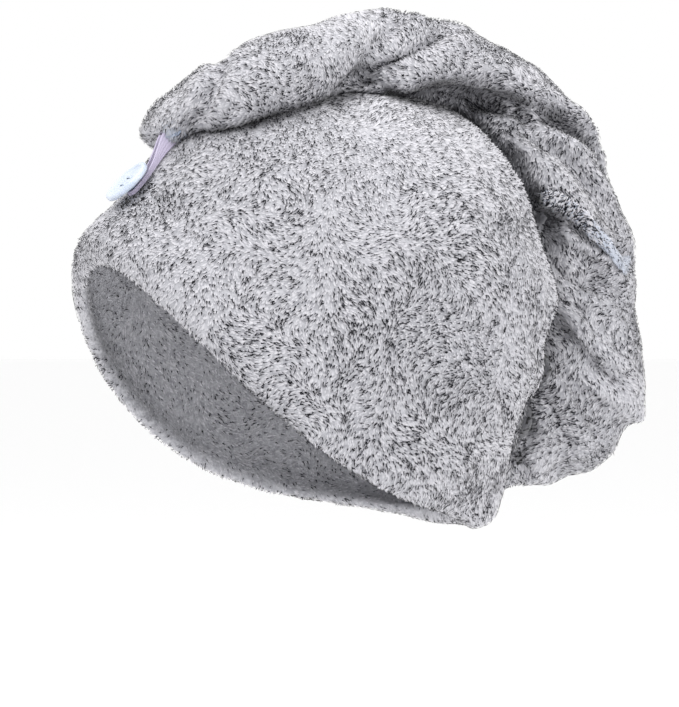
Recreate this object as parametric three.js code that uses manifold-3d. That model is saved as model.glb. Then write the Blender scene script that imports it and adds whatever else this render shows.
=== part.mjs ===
// A hair turban towel as it sits on a head: a plush hood, its long tail wrung into a rope that comes
// up behind the head and over the crown, and a button and elastic loop that fasten the tail's tip.
// Millimetres. +Z is up, the face looks along -Y and the wearer's left is +X.
// The origin is where the top of the head meets the inside of the hood.
import * as THREE from 'three';
import Module from 'manifold-3d';

const wasm = await Module();
wasm.setup();

// Driving sizes of the hood, over the outside of the cloth
const HOOD_LENGTH = 200; // forehead rim to the fold behind the head
const HOOD_WIDTH = 168;
const HOOD_DROP = 188; // crown to nape
const CLOTH = 4; // plush cloth
const HEM_THICKNESS = 8; // rim turned in and sewn
const HEM_DEPTH = 18;
const FOLD_THICKNESS = 8; // where the hood's cloth turns in towards the tail
const FOLD_DEPTH = 20;
const GATHER_DEPTH = 6; // how far a gather draws the fold in
const PRESS_DEPTH = 2.2; // where the button presses the pile down
const PRESS_WIDTH = 60;

// Driving sizes of the tail
const TAIL_REACH = 99; // how far it stands out behind the fold
const ROOT_WIDTH = 112;
const MOUTH_DEPTH = 12; // how far its mouth reaches into the hood
const CREVICE = 1.6; // between the fold and the tail that turns out of it
const ROPE_WIDTH = 60;
const ROPE_THICKNESS = 35;
const ROPE_SINK = 9; // how far the rope's sides hang down the hood
const CREASE_DEPTH = 9;
const CREASE_WIDTH = 15;
const WRUNG_CLOTH = 15; // the wall of the root, folded on itself

// Driving sizes of the fastening and the trim
const BUTTON_DIAMETER = 23;
const BUTTON_THICKNESS = 3.2;
const BUTTON_RIM_WIDTH = 2.4;
const BUTTON_DISH = 1; // depth of the hollow inside the rim
const BUTTON_HOLE = 2.2;
const BUTTON_HOLE_PITCH = 4.4;
const BUTTON_AT = 0.19; // share of the hood's centre line, from the rim
const THREAD = 1.2; // one bundle of sewing thread
const SHANK_DIAMETER = 3.4;
const SHANK_HEIGHT = 5; // the button's back stands this far above the cloth
const KNOT_DIAMETER = 8; // the stitches' spread behind the button and inside the hood
const KNOT_THICKNESS = 0.7;
const ELASTIC_WIDTH = 2; // where it passes behind the button
const ELASTIC_TIP_WIDTH = 5.8;
const ELASTIC_THICKNESS = 1.2;
const LOOP_LENGTH = 30; // from the shank to the ends sewn in the tail's tip
const LOOP_SPREAD = 3.6; // between the two ends
const LOOP_SIDE = 3.5; // the ends lie this far to the wearer's left
const TAPE_WIDTH = 7;
const TAPE_THICKNESS = 1.2;
const TAPE_BED = 0.4; // how deep it beds in the pile
const CLEARANCE = 0.5; // between pieces that touch

// Fineness of the meshes
const COLUMNS = 48; // points round the hood and round the tail
const HOOD_ROWS = 21;
const TAIL_STEPS = 3; // rows for each section of the table
const ROUND_STEPS = 3; // rows round a turned edge

// Each row is one closed loop of the hood, from the rim round the face to the fold round the tail.
// top and bottom are the loop's ends on the centre line: back is a share of HOOD_LENGTH and rise of
// HOOD_DROP. half is a share of HOOD_WIDTH, egg narrows the top end, and bow, a share of HOOD_LENGTH,
// carries the loop's sides forwards and down.
const HOOD_SECTIONS = [
  { topBack: -0.49, topRise: -0.35, bottomBack: 0.375, bottomRise: -0.974, half: 0.47, egg: 0.15, bow: 0.135 },
  { topBack: -0.488, topRise: -0.285, bottomBack: 0.385, bottomRise: -0.984, half: 0.487, egg: 0.13, bow: 0.12 },
  { topBack: -0.387, topRise: -0.184, bottomBack: 0.4, bottomRise: -0.99, half: 0.497, egg: 0.1, bow: 0.095 },
  { topBack: -0.26, topRise: -0.045, bottomBack: 0.425, bottomRise: -0.99, half: 0.5, egg: 0.06, bow: 0.045 },
  { topBack: -0.065, topRise: 0.02, bottomBack: 0.45, bottomRise: -0.985, half: 0.494, egg: 0.02, bow: -0.01 },
  { topBack: 0.175, topRise: 0.062, bottomBack: 0.475, bottomRise: -0.97, half: 0.455, egg: 0, bow: -0.06 },
  { topBack: 0.4, topRise: 0.03, bottomBack: 0.495, bottomRise: -0.935, half: 0.345, egg: 0, bow: -0.1 },
];

// Each gather draws the fold in. turn runs from the top round the wearer's left to the bottom, spread
// is its half width in turns, depth a share of GATHER_DEPTH and run how far it reaches forwards.
const HOOD_GATHERS = [
  { turn: 0.215, spread: 0.02, depth: 0.5, run: 0.14 },
  { turn: 0.285, spread: 0.02, depth: 0.7, run: 0.16 },
  { turn: 0.35, spread: 0.022, depth: 1.2, run: 0.18 },
  { turn: 0.405, spread: 0.02, depth: 0.8, run: 0.2 },
  { turn: 0.455, spread: 0.02, depth: 0.6, run: 0.2 },
  { turn: 0.57, spread: 0.022, depth: 0.7, run: 0.2 },
  { turn: 0.64, spread: 0.022, depth: 1.1, run: 0.18 },
  { turn: 0.72, spread: 0.02, depth: 0.7, run: 0.16 },
  { turn: 0.8, spread: 0.02, depth: 0.5, run: 0.14 },
];

// Rows of the hood's inner face, closer together where the gathers are
const INNER_ROWS = [1, 0.96, 0.92, 0.87, 0.8, 0.68, 0.53, 0.37, 0.21, 0.09, 0];

// Each row is a section of the tail's root, which fans out round the top of the fold. round is the
// angle in degrees of its inner end round that fold. Its outer end is a share out of TAIL_REACH behind
// the fold, a share down of the fold's height and a share up of ROPE_THICKNESS. half is a share of
// ROOT_WIDTH, and bow, a share of TAIL_REACH, carries the sides back.
const ROOT_SECTIONS = [
  { round: 42, out: 0.33, down: 0.985, up: 0, half: 0.41, bow: 0.13 },
  { round: 70, out: 0.74, down: 0.95, up: 0, half: 0.47, bow: 0.12 },
  { round: 92, out: 1.02, down: 0.79, up: 0, half: 0.465, bow: 0.06 },
  { round: 110, out: 0.94, down: 0.57, up: 0, half: 0.45, bow: 0.02 },
  { round: 126, out: 0.95, down: 0.34, up: 0, half: 0.4, bow: 0 },
  { round: 142, out: 0.86, down: 0.13, up: 0, half: 0.35, bow: 0 },
  { round: 158, out: 0.655, down: 0, up: 0.14, half: 0.305, bow: 0 },
  { round: 176, out: 0.37, down: 0, up: 0.9, half: 0.28, bow: 0 },
];

// Each row is a section of the rope over the crown. over is its place on the hood's centre line, a
// share of the length from the rim to the fold. thick is a share of ROPE_THICKNESS, half and side of
// ROPE_WIDTH and sink of ROPE_SINK. side is to the wearer's left.
const ROPE_SECTIONS = [
  { over: 0.89, thick: 1.12, half: 0.48, side: 0, sink: 0.8 },
  { over: 0.79, thick: 1.05, half: 0.47, side: 0, sink: 0.9 },
  { over: 0.69, thick: 0.85, half: 0.48, side: 0, sink: 0.9 },
  { over: 0.59, thick: 0.82, half: 0.5, side: 0, sink: 1 },
  { over: 0.5, thick: 0.8, half: 0.53, side: 0.02, sink: 1.1 },
  { over: 0.41, thick: 0.66, half: 0.52, side: 0.02, sink: 1 },
  { over: 0.37, thick: 0.56, half: 0.44, side: -0.05, sink: 0.6 },
  { over: 0.315, thick: 0.38, half: 0.27, side: -0.15, sink: 0.35 },
];
const SEATED_FROM = 9; // the section where the tail first lies on the hood
const HOLLOW_TO = 6; // the section where the wrung cloth closes the hollow

// Each crease runs over the tail from one place to another, bent in its middle. at is a section's
// number, counted from the mouth, and turn goes from the inner side, 0, round the wearer's left, 0.25,
// to the outer side. depth is a share of CREASE_DEPTH and width of CREASE_WIDTH. lift, a share of
// CREASE_DEPTH, raises the cloth on the tip's side, or below zero on the other.
const TAIL_CREASES = [
  { at: 16.7, turn: 0.18, toAt: 14.6, toTurn: 0.4, bend: -0.1, depth: 0.6, width: 0.75, lift: 0.15 },
  { at: 14.6, turn: 0.42, toAt: 12.9, toTurn: 0.75, bend: 0, depth: 0.7, width: 0.8, lift: 0.2 },
  { at: 12, turn: 0.08, toAt: 10.1, toTurn: 0.44, bend: 0.3, depth: 1.1, width: 0.9, lift: 0.15 },
  { at: 10.1, turn: 0.46, toAt: 8.4, toTurn: 0.85, bend: 0, depth: 0.8, width: 0.9, lift: 0.25 },
  { at: 11.7, turn: 0.15, toAt: 10.5, toTurn: 0.21, bend: 0, depth: 0.45, width: 0.6, lift: 0 },
  { at: 10.6, turn: 0.09, toAt: 7.9, toTurn: 0.2, bend: 0, depth: 0.9, width: 0.9, lift: 0.5 },
  { at: 7.9, turn: 0.2, toAt: 6.5, toTurn: 0.4, bend: 0, depth: 0.8, width: 0.9, lift: 0.35 },
  { at: 7.3, turn: 0.13, toAt: 5.7, toTurn: 0.34, bend: -0.2, depth: 0.8, width: 0.85, lift: 0.3 },
  { at: 2.6, turn: 0.16, toAt: 5, toTurn: 0.4, bend: 0, depth: 1.1, width: 0.9, lift: 0.45 },
  { at: 2, turn: 0.2, toAt: 3.5, toTurn: 0.31, bend: 0, depth: 0.7, width: 0.8, lift: 0.2 },
  { at: 1.9, turn: 0.26, toAt: 3.9, toTurn: 0.5, bend: 0.1, depth: 1.2, width: 1, lift: 0.1 },
  { at: 1.8, turn: 0.33, toAt: 3, toTurn: 0.5, bend: 0, depth: 0.8, width: 0.8, lift: 0.2 },
  { at: 1.8, turn: 0.4, toAt: 2.4, toTurn: 0.53, bend: 0, depth: 0.8, width: 0.7, lift: 0 },
  { at: 5.8, turn: 0.42, toAt: 4, toTurn: 0.72, bend: 0, depth: 0.9, width: 1, lift: 0.3 },
  { at: 3.8, turn: 0.55, toAt: 1.9, toTurn: 0.74, bend: 0.1, depth: 1, width: 1, lift: 0.3 },
  { at: 4.8, turn: 0.66, toAt: 2.4, toTurn: 0.84, bend: 0, depth: 0.9, width: 0.9, lift: 0.3 },
  { at: 7.2, turn: 0.58, toAt: 5.8, toTurn: 0.88, bend: 0, depth: 0.9, width: 0.9, lift: 0.3 },
];

// The seam tape lies along the tail's long crease
const TAPE_RUN = { at: 3, turn: 0.16, toAt: 5.5, toTurn: 0.38, bend: 1.6 };
const TAPE_STEPS = 18;

const HALF_TURN = Math.PI;
const FULL_TURN = 2 * Math.PI;

// Smooth values between the rows of a table

function smoothBetween(a, b, c, d, t) {
  const slopeB = (c - a) / 2;
  const slopeC = (d - b) / 2;
  const t2 = t * t;
  const t3 = t2 * t;
  return (2 * t3 - 3 * t2 + 1) * b + (t3 - 2 * t2 + t) * slopeB + (3 * t2 - 2 * t3) * c + (t3 - t2) * slopeC;
}

function rowAt(rows, at) {
  const last = rows.length - 1;
  const low = Math.min(Math.max(Math.floor(at), 0), last - 1);
  const pick = (index) => rows[Math.min(Math.max(index, 0), last)];
  const row = {};
  for (const key of Object.keys(rows[0])) {
    row[key] = smoothBetween(
      pick(low - 1)[key], pick(low)[key], pick(low + 1)[key], pick(low + 2)[key], at - low);
  }
  return row;
}

function smoothStep(x) {
  const t = Math.min(Math.max(x, 0), 1);
  return t * t * (3 - 2 * t);
}

function wrapTurn(turn) {
  return turn - Math.floor(turn);
}

function turnsApart(a, b) {
  const apart = wrapTurn(a - b);
  return Math.min(apart, 1 - apart);
}

// A closed loop hung between two ends on the centre line

function loopPoint(loop, turn) {
  const angle = turn * FULL_TURN;
  const along = Math.cos(angle);
  const across = Math.sin(angle);
  const spanBack = (loop.firstBack - loop.lastBack) / 2;
  const spanRise = (loop.firstRise - loop.lastRise) / 2;
  const span = Math.hypot(spanBack, spanRise);
  const bow = loop.bow * across * across;
  return new THREE.Vector3(
    loop.side + loop.half * across * (1 - loop.egg * along),
    (loop.firstBack + loop.lastBack) / 2 + spanBack * along - (bow * spanRise) / span,
    (loop.firstRise + loop.lastRise) / 2 + spanRise * along + (bow * spanBack) / span,
  );
}

// The hood's outer face, from the rim, 0, to the fold, 1

const hoodLoops = HOOD_SECTIONS.map((row) => ({
  firstBack: row.topBack * HOOD_LENGTH,
  firstRise: row.topRise * HOOD_DROP,
  lastBack: row.bottomBack * HOOD_LENGTH,
  lastRise: row.bottomRise * HOOD_DROP,
  side: 0,
  half: row.half * HOOD_WIDTH,
  egg: row.egg,
  bow: row.bow * HOOD_LENGTH,
}));
const HOOD_SPANS = hoodLoops.length - 1;

function gathered(point, along, turn) {
  for (const gather of HOOD_GATHERS) {
    const near = Math.exp(-((turnsApart(turn, gather.turn) / gather.spread) ** 2));
    const reach = smoothStep((along - 1 + gather.run) / gather.run);
    const pull = gather.depth * GATHER_DEPTH * near * reach;
    const out = new THREE.Vector3(point.x, 0, 0).normalize();
    point.addScaledVector(out, -0.75 * pull);
    point.y -= 0.6 * pull;
  }
  return point;
}

function freeFace(along, turn) {
  return gathered(loopPoint(rowAt(hoodLoops, along * HOOD_SPANS), turn), along, turn);
}

function faceNormal(face, along, turn, last) {
  const step = 0.004 * last;
  const low = Math.max(along - step, 0);
  const high = Math.min(along + step, last);
  const up = face(high, turn).sub(face(low, turn));
  const round = face(along, turn + 0.004).sub(face(along, turn - 0.004));
  return round.cross(up).normalize();
}

function hoodNormal(along, turn) {
  return faceNormal(freeFace, along, turn, 1);
}

function hoodLengthTo(along, turn) {
  const pieces = 6;
  let length = 0;
  let from = freeFace(0, turn);
  for (let i = 1; i <= pieces; i += 1) {
    const to = freeFace((along * i) / pieces, turn);
    length += to.distanceTo(from);
    from = to;
  }
  return length;
}

// The place on the hood's centre line at a share of its length
function crownAt(share) {
  const whole = hoodLengthTo(1, 0);
  let low = 0;
  let high = 1;
  for (let i = 0; i < 24; i += 1) {
    const middle = (low + high) / 2;
    if (hoodLengthTo(middle, 0) < share * whole) {
      low = middle;
    } else {
      high = middle;
    }
  }
  return low;
}

// The pile lies lower under the button
const buttonAlong = crownAt(BUTTON_AT);
const pressedSpot = freeFace(buttonAlong, 0);

function pressed(along, turn) {
  const away = Math.min(freeFace(along, turn).distanceTo(pressedSpot) / (PRESS_WIDTH / 2), 1);
  return PRESS_DEPTH * Math.cos((HALF_TURN / 2) * away) ** 2;
}

function hoodFace(along, turn) {
  return freeFace(along, turn).addScaledVector(hoodNormal(along, turn), -pressed(along, turn));
}

function hoodThickness(along, turn) {
  const fromRim = hoodLengthTo(along, turn);
  const toFold = hoodLengthTo(1, turn) - fromRim;
  const hem = (HEM_THICKNESS - CLOTH) * (1 - smoothStep(fromRim / HEM_DEPTH));
  const fold = (FOLD_THICKNESS - CLOTH) * (1 - smoothStep(toFold / FOLD_DEPTH));
  return CLOTH + Math.max(hem, fold);
}

function hoodInside(along, turn, further) {
  const depth = hoodThickness(along, turn) + further;
  return freeFace(along, turn).addScaledVector(hoodNormal(along, turn), -depth);
}

// Rows of points, each one loop, joined into a closed solid

function loopOf(columns, pointAt) {
  return Array.from({ length: columns }, (_, i) => pointAt(i / columns));
}

function middleOf(points) {
  return points.reduce((sum, p) => sum.add(p), new THREE.Vector3()).divideScalar(points.length);
}

function orientedGeometry(positions, triangles) {
  const at = (index) => new THREE.Vector3().fromArray(positions, index * 3);
  let volume = 0;
  for (let i = 0; i < triangles.length; i += 3) {
    volume += at(triangles[i]).dot(at(triangles[i + 1]).cross(at(triangles[i + 2])));
  }
  if (volume < 0) {
    triangles.reverse();
  }
  const geometry = new THREE.BufferGeometry();
  geometry.setAttribute('position', new THREE.Float32BufferAttribute(positions, 3));
  geometry.setIndex(triangles);
  return geometry;
}

function solidFromRows(rows, joined) {
  const columns = rows[0].length;
  const positions = rows.flat().flatMap((p) => [p.x, p.y, p.z]);
  const triangles = [];
  const corner = (row, column) => (row % rows.length) * columns + (column % columns);
  const lastRow = joined ? rows.length : rows.length - 1;
  for (let r = 0; r < lastRow; r += 1) {
    for (let c = 0; c < columns; c += 1) {
      triangles.push(corner(r, c), corner(r, c + 1), corner(r + 1, c + 1));
      triangles.push(corner(r, c), corner(r + 1, c + 1), corner(r + 1, c));
    }
  }
  if (!joined) {
    const start = positions.length / 3;
    const end = rows.length - 1;
    positions.push(...middleOf(rows[0]).toArray(), ...middleOf(rows[end]).toArray());
    for (let c = 0; c < columns; c += 1) {
      triangles.push(start, corner(0, c + 1), corner(0, c));
      triangles.push(start + 1, corner(end, c), corner(end, c + 1));
    }
  }
  return orientedGeometry(positions, triangles);
}

function solidOf(geometry) {
  return new wasm.Manifold(new wasm.Mesh({
    numProp: 3,
    vertProperties: new Float32Array(geometry.getAttribute('position').array),
    triVerts: new Uint32Array(geometry.getIndex().array),
  }));
}

function geometryOf(solid) {
  const mesh = solid.getMesh();
  return orientedGeometry(Array.from(mesh.vertProperties), Array.from(mesh.triVerts));
}

function cut(geometry, ...tools) {
  let solid = solidOf(geometry);
  for (const tool of tools) {
    solid = solid.subtract(solidOf(tool));
  }
  return geometryOf(solid);
}

// The room that a piece needs in the one round it
function swollen(geometry) {
  const grown = geometry.clone();
  grown.computeVertexNormals();
  const position = grown.getAttribute('position');
  const normal = grown.getAttribute('normal');
  for (let i = 0; i < position.count; i += 1) {
    const spot = new THREE.Vector3().fromBufferAttribute(position, i);
    spot.addScaledVector(new THREE.Vector3().fromBufferAttribute(normal, i), 2 * CLEARANCE);
    position.setXYZ(i, spot.x, spot.y, spot.z);
  }
  return grown;
}

function joined(...parts) {
  let solid = solidOf(parts[0]);
  for (const part of parts.slice(1)) {
    solid = solid.add(solidOf(part));
  }
  return geometryOf(solid);
}

// Hood: outer face, turned fold, inner face, turned hem

function edgeLoops(along, outerFirst) {
  const rows = [];
  for (let i = 1; i <= ROUND_STEPS; i += 1) {
    const angle = (HALF_TURN * i) / (ROUND_STEPS + 1);
    rows.push(loopOf(COLUMNS, (turn) => {
      const out = hoodNormal(along, turn);
      const step = along > 0.5 ? 0.01 : -0.01;
      const outwards = hoodFace(along, turn).sub(hoodFace(along - step, turn)).normalize();
      const radius = hoodThickness(along, turn) / 2;
      const side = outerFirst ? Math.cos(angle) : -Math.cos(angle);
      return hoodFace(along, turn)
        .addScaledVector(out, radius * (side - 1))
        .addScaledVector(outwards, radius * Math.sin(angle));
    }));
  }
  return rows;
}

function makeHood() {
  const rows = [];
  for (let i = 0; i <= HOOD_ROWS; i += 1) {
    rows.push(loopOf(COLUMNS, (turn) => hoodFace(i / HOOD_ROWS, turn)));
  }
  rows.push(...edgeLoops(1, true));
  for (const along of INNER_ROWS) {
    rows.push(loopOf(COLUMNS, (turn) => hoodInside(along, turn, 0)));
  }
  rows.push(...edgeLoops(0, false));
  return solidFromRows(rows, true);
}

// The tail's sections, from its mouth inside the hood to its tip above the forehead

const foldLoop = hoodLoops[HOOD_SPANS];
const foldTop = hoodFace(1, 0);
const foldHeight = foldLoop.firstRise - foldLoop.lastRise;
const foldRadius = FOLD_THICKNESS / 2;
const foldBack = hoodFace(1, 0).sub(hoodFace(0.99, 0)).normalize();
const foldUp = hoodNormal(1, 0);
const foldCentre = foldTop.clone().addScaledVector(foldUp, -foldRadius);

function mouthSection(depth) {
  return (turn) => hoodInside(1 - depth / hoodLengthTo(1, turn), turn, CREVICE);
}

function rootSection(row) {
  const angle = (row.round * Math.PI) / 180;
  const radius = foldRadius + CREVICE;
  const inner = foldCentre.clone()
    .addScaledVector(foldBack, radius * Math.sin(angle))
    .addScaledVector(foldUp, -radius * Math.cos(angle));
  const loop = {
    firstBack: inner.y,
    firstRise: inner.z,
    lastBack: foldTop.y + row.out * TAIL_REACH,
    lastRise: foldTop.z - row.down * foldHeight + row.up * ROPE_THICKNESS,
    side: 0,
    half: row.half * ROOT_WIDTH,
    egg: 0,
    bow: -row.bow * TAIL_REACH,
  };
  return (turn) => loopPoint(loop, turn);
}

function ropeSection(row) {
  const along = crownAt(row.over);
  const seat = hoodFace(along, 0);
  const up = hoodNormal(along, 0);
  const low = seat.clone().addScaledVector(up, -row.sink * ROPE_SINK);
  const high = seat.clone().addScaledVector(up, row.thick * ROPE_THICKNESS);
  const loop = {
    firstBack: low.y,
    firstRise: low.z,
    lastBack: high.y,
    lastRise: high.z,
    side: row.side * ROPE_WIDTH,
    half: row.half * ROPE_WIDTH,
    egg: 0,
    bow: 0,
  };
  return (turn) => loopPoint(loop, turn);
}

const tailSections = [
  mouthSection(MOUTH_DEPTH),
  mouthSection(0),
  ...ROOT_SECTIONS.map(rootSection),
  ...ROPE_SECTIONS.map(ropeSection),
];
const TAIL_SPANS = tailSections.length - 1;

function plainTail(at, turn) {
  const low = Math.min(Math.max(Math.floor(at), 0), TAIL_SPANS - 1);
  const share = at - low;
  const [a, b, c, d] = [-1, 0, 1, 2].map((step) => {
    const index = Math.min(Math.max(low + step, 0), TAIL_SPANS);
    return tailSections[index](turn);
  });
  return new THREE.Vector3(
    smoothBetween(a.x, b.x, c.x, d.x, share),
    smoothBetween(a.y, b.y, c.y, d.y, share),
    smoothBetween(a.z, b.z, c.z, d.z, share),
  );
}

const CREASE_PIECES = 12;
const creaseLines = TAIL_CREASES.map((crease) => {
  const points = Array.from({ length: CREASE_PIECES + 1 }, (_, i) => {
    const share = i / CREASE_PIECES;
    const bend = 4 * share * (1 - share);
    const at = crease.at + (crease.toAt - crease.at) * share + crease.bend * bend;
    const turn = crease.turn + (crease.toTurn - crease.turn) * share;
    const fade = Math.min(1, 1.2 * Math.sin(Math.PI * share) + 0.3);
    return { at, turn, fade, point: plainTail(at, turn) };
  });
  return { ...crease, points };
});

function creased(point, at, turn, inwards) {
  let moved = 0;
  for (const line of creaseLines) {
    const width = line.width * CREASE_WIDTH;
    let nearest = Infinity;
    let strength = 0;
    let side = 0;
    for (let i = 1; i < line.points.length; i += 1) {
      const from = line.points[i - 1];
      const to = line.points[i];
      const run = to.point.clone().sub(from.point);
      const share = Math.min(Math.max(point.clone().sub(from.point).dot(run) / run.lengthSq(), 0), 1);
      const gap = from.point.clone().addScaledVector(run, share).distanceTo(point);
      if (gap < nearest) {
        nearest = gap;
        strength = from.fade + (to.fade - from.fade) * share;
        const apart = wrapTurn(turn - from.turn + 0.5) - 0.5;
        side = Math.sign((to.turn - from.turn) * (at - from.at) - (to.at - from.at) * apart);
      }
    }
    const near = Math.min(nearest / width, 1);
    moved += line.depth * CREASE_DEPTH * strength * Math.cos((Math.PI / 2) * near) ** 2;
    const away = Math.min(nearest / (1.4 * width), 1) * Math.max(side * Math.sign(line.lift), 0);
    moved -= Math.abs(line.lift) * CREASE_DEPTH * strength * Math.sin(Math.PI * away) ** 2;
  }
  return point.addScaledVector(inwards, moved);
}

// The faces as clouds of points with normals, to set other pieces on

function cloudOf(face, last, rows, columns, from, to) {
  const cloud = [];
  for (let r = 0; r <= rows; r += 1) {
    for (let c = 0; c <= columns; c += 1) {
      const at = from.at + ((to.at - from.at) * r) / rows;
      const turn = from.turn + ((to.turn - from.turn) * c) / columns;
      cloud.push({ point: face(at, turn), out: faceNormal(face, at, turn, last) });
    }
  }
  return cloud;
}

function heightOver(cloud, point) {
  let best = cloud[0];
  let nearest = Infinity;
  for (const spot of cloud) {
    const gap = spot.point.distanceToSquared(point);
    if (gap < nearest) {
      nearest = gap;
      best = spot;
    }
  }
  return { height: point.clone().sub(best.point).dot(best.out), out: best.out };
}

const crownCloud = cloudOf(hoodFace, 1, 60, 32, { at: 0, turn: -0.16 }, { at: 1, turn: 0.16 });

function seated(point) {
  const { height, out } = heightOver(crownCloud, point);
  return height < CLEARANCE ? point.addScaledVector(out, CLEARANCE - height) : point;
}

// The fold is round, and the tail stays clear of it
const foldLine = loopOf(240, (turn) => (
  hoodFace(1, turn).addScaledVector(hoodNormal(1, turn), -FOLD_THICKNESS / 2)));

function clearOfFold(point) {
  const nearest = foldLine.reduce((best, spot) => (
    spot.distanceToSquared(point) < best.distanceToSquared(point) ? spot : best));
  const away = point.clone().sub(nearest);
  const least = FOLD_THICKNESS / 2 + CREVICE;
  return away.length() < least ? nearest.clone().addScaledVector(away.normalize(), least) : point;
}

function tailFace(at, turn) {
  const point = plainTail(at, turn);
  const middle = plainTail(at, 0).add(plainTail(at, 0.5)).divideScalar(2);
  creased(point, at, turn, middle.sub(point).normalize());
  return clearOfFold(at >= SEATED_FROM ? seated(point) : point);
}

function makeTail() {
  const outer = [];
  for (let i = 0; i <= TAIL_SPANS * TAIL_STEPS; i += 1) {
    outer.push(loopOf(COLUMNS, (turn) => tailFace(i / TAIL_STEPS, turn)));
  }
  const inner = [];
  for (let at = HOLLOW_TO; at >= 0; at -= 1) {
    const row = loopOf(COLUMNS, (turn) => plainTail(at, turn));
    const middle = middleOf(row);
    const wall = CLOTH + (WRUNG_CLOTH - CLOTH) * smoothStep((at - 1) / 2);
    inner.push(row.map((p) => p.clone().addScaledVector(middle.clone().sub(p).normalize(), wall)));
  }
  return solidFromRows([...inner, ...outer], false);
}

// The fastening stands on the hood's centre line, square to the cloth. In its own frame x is to the
// wearer's left, y up the hood and z out from the cloth.

const buttonOut = hoodNormal(buttonAlong, 0);
const leftwards = new THREE.Vector3(1, 0, 0);
const buttonFrame = new THREE.Matrix4()
  .makeBasis(leftwards, buttonOut.clone().cross(leftwards), buttonOut)
  .setPosition(hoodFace(buttonAlong, 0));

// A round solid from rows of radius and height
function turned(profile, columns, x = 0, y = 0) {
  const rows = profile.map(([radius, height]) => loopOf(columns, (turn) => new THREE.Vector3(
    x + radius * Math.cos(turn * FULL_TURN), y + radius * Math.sin(turn * FULL_TURN), height)));
  return solidFromRows(rows, false);
}

function rod(radius, from, to, x = 0, y = 0) {
  return turned([[radius, from], [radius, to]], 8, x, y);
}

const holeAt = BUTTON_HOLE_PITCH / 2;
const holes = [[-holeAt, -holeAt], [holeAt, -holeAt], [-holeAt, holeAt], [holeAt, holeAt]];
const buttonFace = SHANK_HEIGHT + BUTTON_THICKNESS;
const dishFace = buttonFace - BUTTON_DISH;

function makeButton() {
  const radius = BUTTON_DIAMETER / 2;
  const round = BUTTON_THICKNESS / 4;
  const profile = [
    [radius - 2 * round, SHANK_HEIGHT],
    [radius - round / 2, SHANK_HEIGHT + round / 2],
    [radius, SHANK_HEIGHT + 1.6 * round],
    [radius - round / 4, buttonFace - round],
    [radius - round, buttonFace - round / 4],
    [radius - BUTTON_RIM_WIDTH / 2, buttonFace],
    [radius - BUTTON_RIM_WIDTH, buttonFace - BUTTON_DISH / 3],
    [radius - 1.4 * BUTTON_RIM_WIDTH, dishFace],
  ];
  const drills = holes.map(([x, y]) => rod(BUTTON_HOLE / 2, 0, 2 * buttonFace, x, y));
  return cut(turned(profile, 32), ...drills).applyMatrix4(buttonFrame);
}

function makeThread() {
  const backOfButton = SHANK_HEIGHT - CLEARANCE;
  const insideOfHood = PRESS_DEPTH - CLOTH - CLEARANCE;
  const top = dishFace + CLEARANCE + THREAD / 2;
  const strand = THREAD / 2;
  const strands = holes.map(([x, y]) => rod(strand, backOfButton - KNOT_THICKNESS, top, x, y));
  const bars = [-holeAt, holeAt].map((y) => {
    const bar = turned([
      [0.5 * strand, -holeAt - strand], [strand, -holeAt - 0.6 * strand],
      [strand, holeAt + 0.6 * strand], [0.5 * strand, holeAt + strand],
    ], 8);
    return bar.rotateY(Math.PI / 2).translate(0, y, top);
  });
  return joined(
    rod(SHANK_DIAMETER / 2, insideOfHood - KNOT_THICKNESS / 2, backOfButton - KNOT_THICKNESS / 2),
    turned([[KNOT_DIAMETER / 2, backOfButton - KNOT_THICKNESS], [KNOT_DIAMETER / 2, backOfButton]], 16),
    turned([[KNOT_DIAMETER / 3, insideOfHood - KNOT_THICKNESS], [KNOT_DIAMETER / 2.2, insideOfHood]], 16),
    ...strands,
    ...bars,
  ).applyMatrix4(buttonFrame);
}

// The elastic stands on edge: down one side of the shank, round below it and up the other side

function elasticPath() {
  const radius = SHANK_DIAMETER / 2 + CLEARANCE + ELASTIC_THICKNESS / 2;
  const path = [];
  const legSteps = 5;
  const arcSteps = 10;
  const leg = (side, share) => new THREE.Vector2(
    side * radius * (1 - share) + (LOOP_SIDE + (side * LOOP_SPREAD) / 2) * share, LOOP_LENGTH * share);
  for (let i = legSteps; i > 0; i -= 1) {
    path.push(leg(1, i / legSteps));
  }
  for (let i = 0; i <= arcSteps; i += 1) {
    const angle = (-HALF_TURN * i) / arcSteps;
    path.push(new THREE.Vector2(radius * Math.cos(angle), radius * Math.sin(angle)));
  }
  for (let i = 1; i <= legSteps; i += 1) {
    path.push(leg(-1, i / legSteps));
  }
  return path;
}

function makeElastic() {
  const path = elasticPath();
  const rows = path.map((p, i) => {
    const before = path[Math.max(i - 1, 0)];
    const after = path[Math.min(i + 1, path.length - 1)];
    const run = after.clone().sub(before).normalize();
    const share = (p.y - BUTTON_DIAMETER / 2) / (LOOP_LENGTH - BUTTON_DIAMETER / 2);
    const half = (ELASTIC_WIDTH + (ELASTIC_TIP_WIDTH - ELASTIC_WIDTH) * smoothStep(share)) / 2;
    const spot = new THREE.Vector3(p.x, p.y, CLEARANCE).applyMatrix4(buttonFrame);
    const lift = Math.max(CLEARANCE - heightOver(crownCloud, spot).height, 0);
    const height = 2 * CLEARANCE + lift + half;
    const thick = ELASTIC_THICKNESS / 2;
    const edge = 0.3 * ELASTIC_THICKNESS;
    const outline = [
      [thick, half - edge], [thick - edge, half], [edge - thick, half], [-thick, half - edge],
      [-thick, edge - half], [edge - thick, -half], [thick - edge, -half], [thick, edge - half],
    ];
    return outline.map(([across, up]) => new THREE.Vector3(
      p.x - run.y * across, p.y + run.x * across, height + up));
  });
  return solidFromRows(rows, false).applyMatrix4(buttonFrame);
}

// The seam tape, bedded in the tail's pile

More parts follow.
